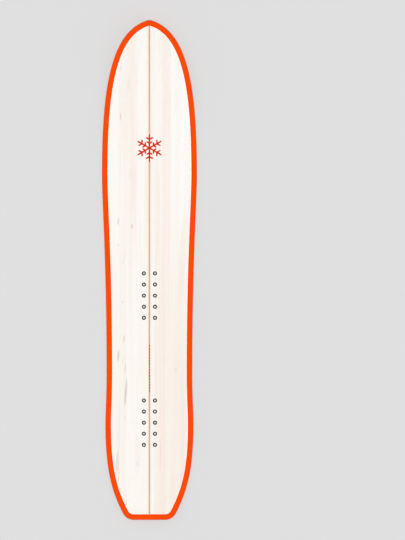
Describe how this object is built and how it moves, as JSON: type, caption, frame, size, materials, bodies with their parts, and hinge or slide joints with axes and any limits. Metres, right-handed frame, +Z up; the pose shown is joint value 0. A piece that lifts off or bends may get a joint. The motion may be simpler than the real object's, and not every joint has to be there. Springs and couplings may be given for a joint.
{
  "type": "snowboard",
  "caption": "Directional freeride snowboard with a wood-veneer deck, coloured border band, steel edges, flat base, raised nose and tail and threaded binding inserts.",
  "frame": {"origin": "middle of the board's bounding box in plan, on the plane that the flat base stands on", "axes": "+Y from tail to nose, +X to the right seen from above with the nose away, +Z up out of the deck"},
  "size_m": [0.3424, 1.8, 0.0713],
  "materials": {
    "base_polyethylene": "satin",
    "edge_steel": "ground",
    "glass_laminate": "satin",
    "spacer_polymer": "satin",
    "sidewall_polymer": "satin",
    "core_hardwood": "raw",
    "core_wood": "raw",
    "insert_steel": "zinc plated",
    "veneer_pale": "satin lacquer",
    "veneer_warm": "satin lacquer",
    "stripe_wood": "satin lacquer",
    "deck_band": "semi-gloss"
  },
  "bodies": {
    "root": {"base_sheet": "base_polyethylene", "steel_edge_left": "edge_steel", "steel_edge_right": "edge_steel", "bottom_glass": "glass_laminate", "nose_spacer": "spacer_polymer", "tail_spacer": "spacer_polymer", "sidewall_left": "sidewall_polymer", "sidewall_right": "sidewall_polymer", "core_stringer": "core_hardwood", "core_strip_left_1": "core_wood", "core_strip_left_2": "core_wood", "core_strip_left_3": "core_wood", "core_strip_left_4": "core_wood", "core_strip_left_5": "core_wood", "core_strip_right_1": "core_wood", "core_strip_right_2": "core_wood", "core_strip_right_3": "core_wood", "core_strip_right_4": "core_wood", "core_strip_right_5": "core_wood", "insert_front_left_1": "insert_steel", "insert_front_left_2": "insert_steel", "insert_front_left_3": "insert_steel", "insert_front_left_4": "insert_steel", "insert_front_left_5": "insert_steel", "insert_front_right_1": "insert_steel", "insert_front_right_2": "insert_steel", "insert_front_right_3": "insert_steel", "insert_front_right_4": "insert_steel", "insert_front_right_5": "insert_steel", "insert_rear_left_1": "insert_steel", "insert_rear_left_2": "insert_steel", "insert_rear_left_3": "insert_steel", "insert_rear_left_4": "insert_steel", "insert_rear_left_5": "insert_steel", "insert_rear_right_1": "insert_steel", "insert_rear_right_2": "insert_steel", "insert_rear_right_3": "insert_steel", "insert_rear_right_4": "insert_steel", "insert_rear_right_5": "insert_steel", "top_glass": "glass_laminate", "deck_veneer_left": "veneer_pale", "deck_veneer_right": "veneer_warm", "deck_stringer": "stripe_wood", "deck_rim": "deck_band"}
  },
  "joints": []
}
